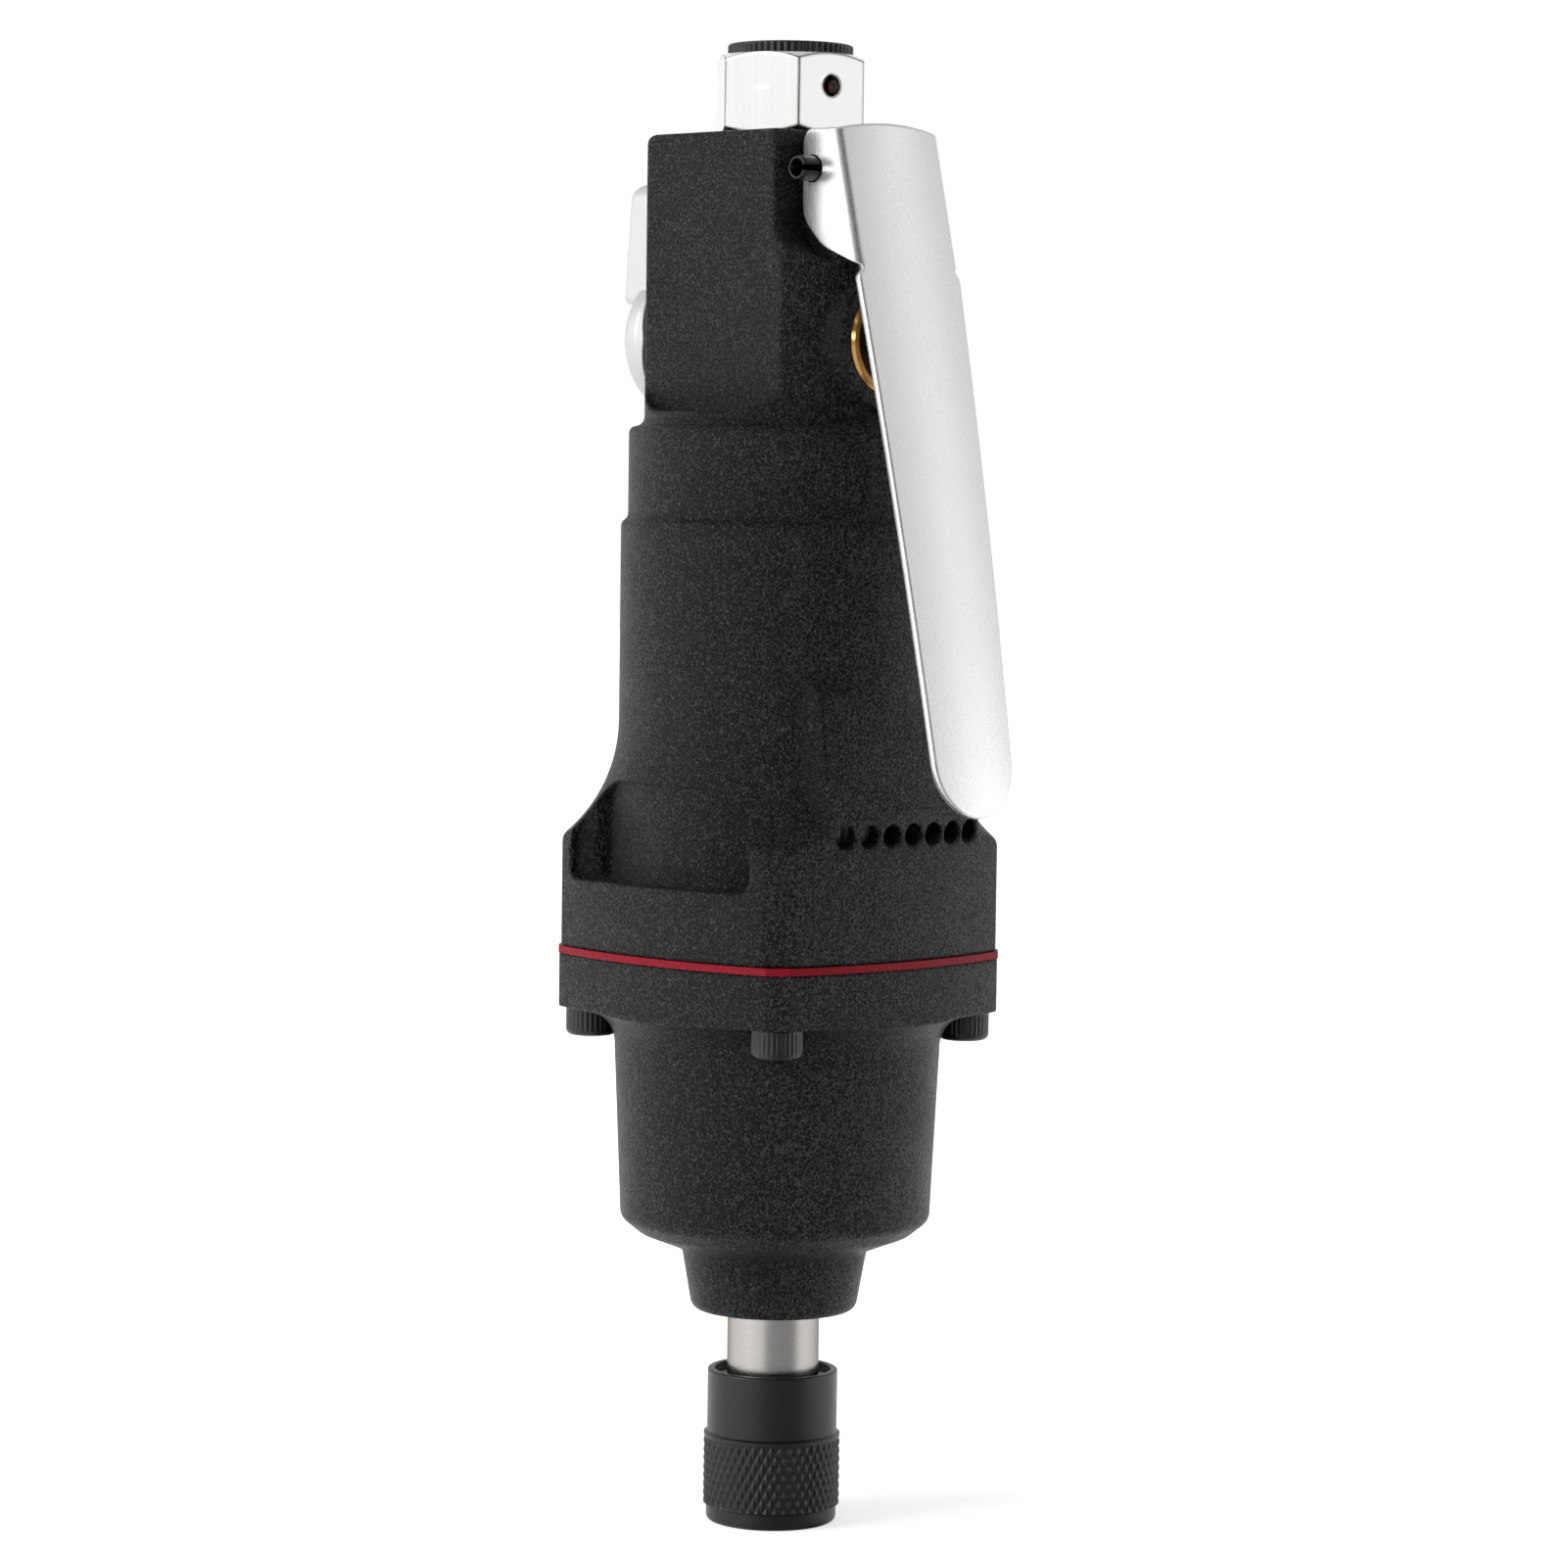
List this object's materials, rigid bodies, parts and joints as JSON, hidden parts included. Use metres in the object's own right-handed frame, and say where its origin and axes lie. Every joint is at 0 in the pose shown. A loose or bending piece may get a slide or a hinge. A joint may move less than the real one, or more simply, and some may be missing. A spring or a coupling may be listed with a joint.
{
  "type": "air impact screwdriver",
  "caption": "Straight air impact screwdriver with a lever throttle, reverse knob, swivel inlet, twin-hammer mechanism and quarter-inch quick-change bit chuck.",
  "frame": {"origin": "centre of the bit socket's mouth, on the chuck's front face", "axes": "+Z along the tool's axis from the chuck to the air inlet, +X towards the throttle lever, +Y along the lever's hinge pin"},
  "size_m": [0.0636, 0.0512, 0.2042],
  "materials": {
    "housing_coat": "fine-textured satin black powder coat on aluminium",
    "case_coat": "fine-textured satin black coat on steel",
    "gasket": "red sheet gasket, satin",
    "black_screw": "black oxide, semi-gloss",
    "black_sleeve": "black oxide with a diagonal knurl",
    "turned_steel": "bare turned and hardened steel",
    "bright_washer": "bright zinc",
    "spring_steel": "polished",
    "bearing_steel": "ground and polished",
    "hardened_steel": "ground, oiled",
    "bronze": "sintered bronze",
    "seal_rubber": "moulded",
    "vane_plastic": "laminated phenolic",
    "brass": "turned brass",
    "bright_pin": "ground",
    "lever_chrome": "satin chrome plate on pressed sheet steel",
    "black_pin": "black oxide spring steel",
    "knob_silver": "silver-finished die-cast zinc",
    "bright_hex": "bright plated hexagon bar",
    "black_swivel": "black oxide with a straight knurl"
  },
  "bodies": {
    "housing": {"motor_housing": "housing_coat", "hammer_case": "case_coat", "flange_gasket": "gasket", "case_screws": "black_screw", "anvil_bushing": "bronze", "nose_seal": "seal_rubber", "front_end_plate": "hardened_steel", "rear_end_plate": "hardened_steel", "motor_liner": "hardened_steel", "liner_dowels": "hardened_steel", "front_bearing_outer_race": "bearing_steel", "front_bearing_balls": "bearing_steel", "rear_bearing_outer_race": "bearing_steel", "rear_bearing_balls": "bearing_steel", "throttle_bushing": "brass", "throttle_spring": "spring_steel", "lever_pin": "black_pin", "reverse_retaining_pin": "black_pin", "inlet_bushing": "bright_hex", "inlet_screen": "brass"},
    "lever": {"throttle_lever": "lever_chrome"},
    "plunger": {"throttle_plunger": "bright_pin", "throttle_seal": "seal_rubber"},
    "reverse": {"reverse_knob": "knob_silver", "reverse_spool": "hardened_steel", "reverse_seal": "seal_rubber", "reverse_knob_screw": "black_screw", "detent_ball": "spring_steel", "detent_spring": "spring_steel"},
    "swivel": {"inlet_swivel": "black_swivel", "swivel_balls": "spring_steel", "swivel_seal": "seal_rubber"},
    "rotor": {"rotor": "hardened_steel", "vanes": "vane_plastic", "front_bearing_inner_race": "bearing_steel", "rear_bearing_inner_race": "bearing_steel", "hammer_cage": "hardened_steel", "hammer_pins": "hardened_steel"},
    "front_hammer": {"front_hammer": "hardened_steel"},
    "rear_hammer": {"rear_hammer": "hardened_steel"},
    "anvil": {"anvil": "turned_steel", "front_retaining_ring": "spring_steel", "front_washer": "spring_steel", "chuck_stop_washer": "bright_washer", "chuck_spring": "spring_steel"},
    "sleeve": {"chuck_sleeve": "black_sleeve"},
    "bit_ball": {"bit_ball": "spring_steel"}
  },
  "joints": [
    {"name": "lever_hinge", "type": "hinge", "parent": "housing", "child": "lever", "pos_m": [0.0143, 0, 0.1864], "axis": [0, 1, 0], "range_deg": [0, 6.7], "stiffness_Nm_per_rad": 1, "springref_deg": -17.19},
    {"name": "plunger_slide", "type": "slide", "parent": "housing", "child": "plunger", "axis": [-1, 0, 0], "range_m": [0, 0.0029], "deforming": ["throttle_spring"]},
    {"name": "reverse_turn", "type": "hinge", "parent": "housing", "child": "reverse", "pos_m": [-0.0199, 0, 0.1639], "axis": [1, 0, 0], "range_deg": [-30, 30]},
    {"name": "inlet_swivel_turn", "type": "hinge", "parent": "housing", "child": "swivel", "pos_m": [0, 0, 0.1982], "axis": [0, 0, 1], "continuous": true},
    {"name": "rotor_spin", "type": "hinge", "parent": "housing", "child": "rotor", "pos_m": [0, 0, 0.1082], "axis": [0, 0, 1], "continuous": true},
    {"name": "front_hammer_rock", "type": "hinge", "parent": "rotor", "child": "front_hammer", "pos_m": [0.0138, 0, 0.0566], "axis": [0, 0, 1], "range_deg": [-2.5, 2.5]},
    {"name": "rear_hammer_rock", "type": "hinge", "parent": "rotor", "child": "rear_hammer", "pos_m": [-0.0138, 0, 0.0666], "axis": [0, 0, 1], "range_deg": [-2.5, 2.5]},
    {"name": "anvil_spin", "type": "hinge", "parent": "housing", "child": "anvil", "pos_m": [0, 0, 0.0388], "axis": [0, 0, 1], "continuous": true},
    {"name": "sleeve_slide", "type": "slide", "parent": "anvil", "child": "sleeve", "axis": [0, 0, -1], "range_m": [0, 0.003], "stiffness_N_per_m": 1500, "springref_m": -0.004, "deforming": ["chuck_spring"]},
    {"name": "bit_ball_slide", "type": "slide", "parent": "anvil", "child": "bit_ball", "axis": [1, 0, 0], "range_m": [0, 0.0007]}
  ],
  "couplings": [
    {"joint": "plunger_slide", "follows": "lever_hinge", "m_per_rad": 0.0238},
    {"joint": "anvil_spin", "follows": "rotor_spin", "ratio": 1},
    {"joint": "bit_ball_slide", "follows": "sleeve_slide", "ratio": 0.2333}
  ]
}
